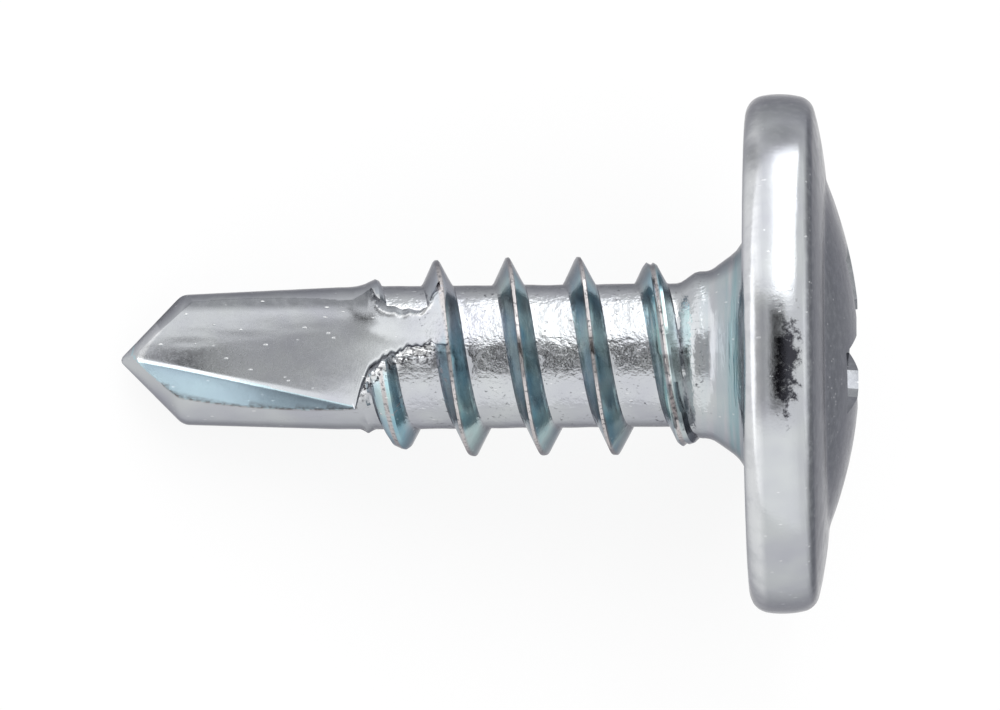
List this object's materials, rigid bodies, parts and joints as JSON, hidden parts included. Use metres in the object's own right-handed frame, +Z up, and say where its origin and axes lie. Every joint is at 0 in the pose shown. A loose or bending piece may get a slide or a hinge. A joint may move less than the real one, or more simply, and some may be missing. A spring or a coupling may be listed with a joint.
{
  "type": "self-drilling screw",
  "caption": "Short right-hand screw with a wide flat-rimmed domed head, cross recess, coarse thread and a two-flute drill point",
  "frame": {"origin": "middle of the footprint, on the ground that the loose screw lies on", "axes": "the screw points along X with its drill tip toward -X and its head toward +X, its axis rising toward the head by 19.9 degrees; Z is up"},
  "size_m": [0.0152, 0.0108, 0.0103],
  "materials": {
    "zinc_plated_steel": "bright blue-white zinc plating"
  },
  "bodies": {
    "root": {"screw": "zinc_plated_steel"}
  },
  "joints": []
}
